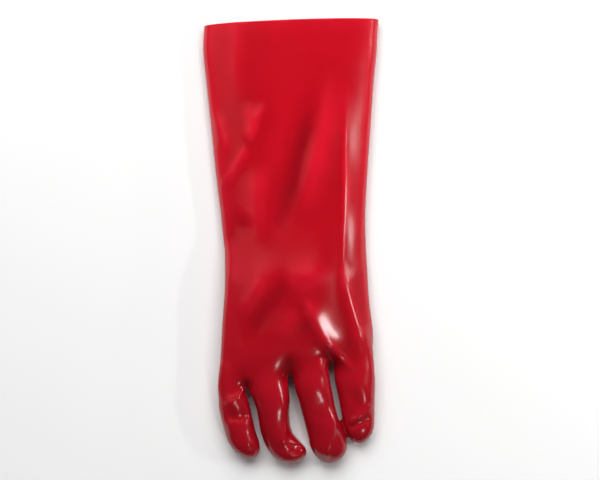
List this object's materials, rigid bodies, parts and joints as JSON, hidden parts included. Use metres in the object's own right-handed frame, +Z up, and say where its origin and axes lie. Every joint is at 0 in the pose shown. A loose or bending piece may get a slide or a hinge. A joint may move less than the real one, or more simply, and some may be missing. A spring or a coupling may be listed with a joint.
{
  "type": "pvc coated gauntlet work glove",
  "caption": "Glossy coated gauntlet work glove lying palm down, with a long flared open cuff, draped fingers and the thumb tucked under the palm, to guard hand and forearm.",
  "frame": {"origin": "under the middle of the glove's box, on the surface that it lies on", "axes": "+Z up, +Y along the glove towards the cuff's mouth, +X across it from the index finger's side to the little finger's"},
  "size_m": [0.1592, 0.402, 0.043],
  "materials": {
    "coat": "glossy dipped PVC over a cotton lining"
  },
  "bodies": {
    "root": {"coated_shell": "coat"}
  },
  "joints": []
}
